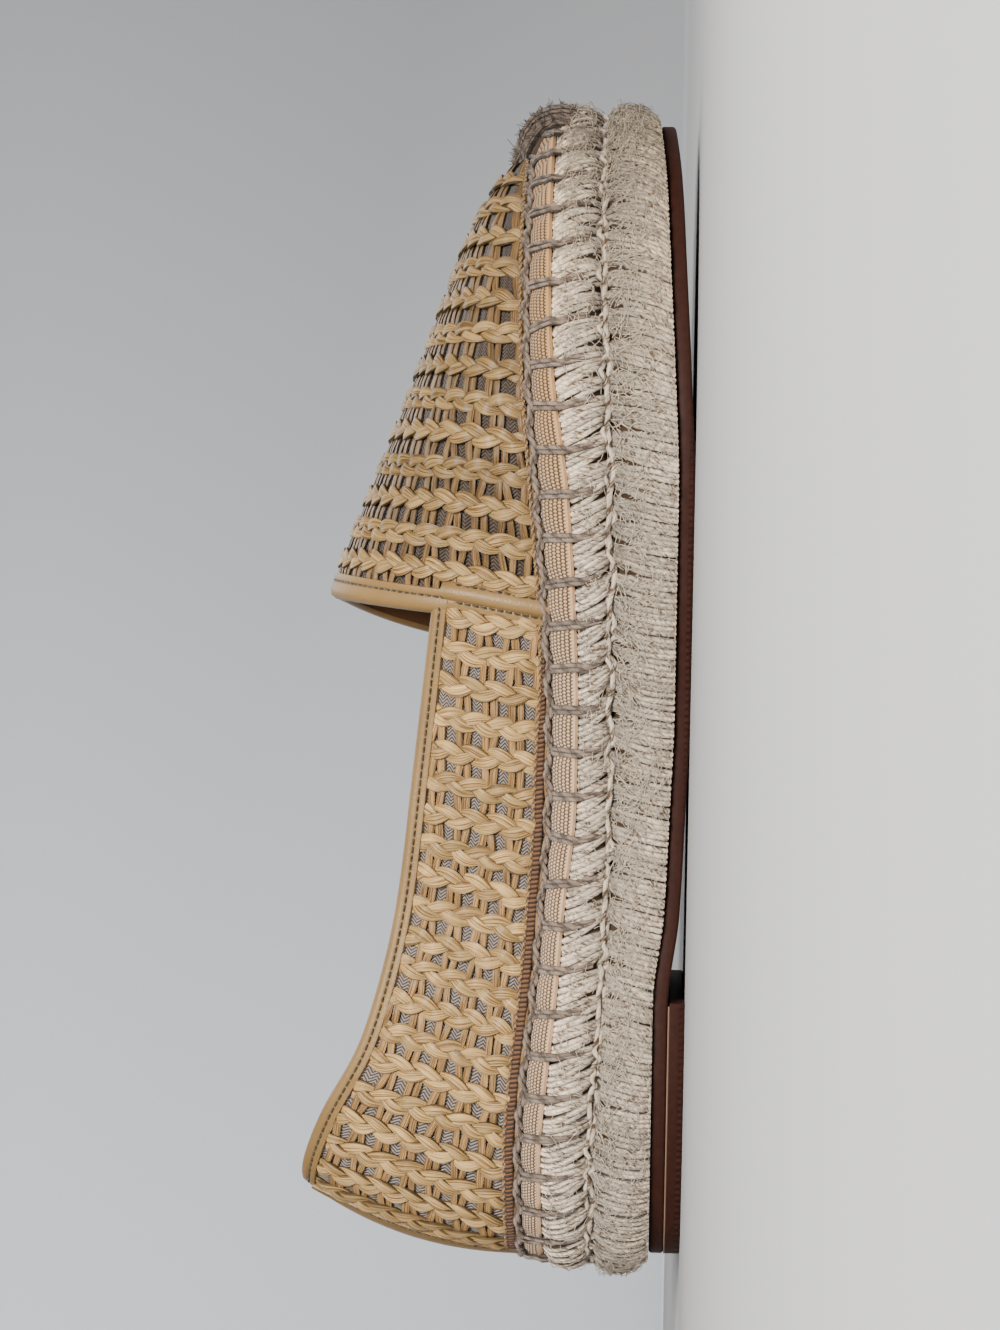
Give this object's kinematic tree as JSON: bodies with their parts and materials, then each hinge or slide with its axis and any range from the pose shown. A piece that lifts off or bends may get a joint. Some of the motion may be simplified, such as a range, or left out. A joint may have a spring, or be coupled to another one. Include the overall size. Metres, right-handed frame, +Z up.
{
  "type": "espadrille flat",
  "caption": "Slip-on espadrille flat for the right foot: braided raffia upper with leather edges on a thick stitched jute sole with thin rubber under it and a low heel lift.",
  "frame": {"origin": "on the floor under the middle of the shoe's box", "axes": "+Y to the toe, +X to the outer side of the foot, +Z up"},
  "size_m": [0.0928, 0.256, 0.0832],
  "materials": {
    "rubber": "matt dark brown",
    "jute": "hairy twisted cord",
    "tape": "woven tape",
    "thread": "twisted thread",
    "lining": "twill with a satin sheen",
    "raffia": "glossy braided straw",
    "leather": "smooth, semi-gloss"
  },
  "bodies": {
    "root": {"outsole": "rubber", "heel_lift": "rubber", "jute_lower_band": "jute", "jute_upper_band": "jute", "edge_tape": "tape", "toe_wrap": "thread", "insole": "lining", "upper": "raffia", "collar_binding": "leather", "throat_binding": "leather", "outer_side_strap": "leather", "inner_side_strap": "leather", "backstay": "leather"}
  },
  "joints": []
}
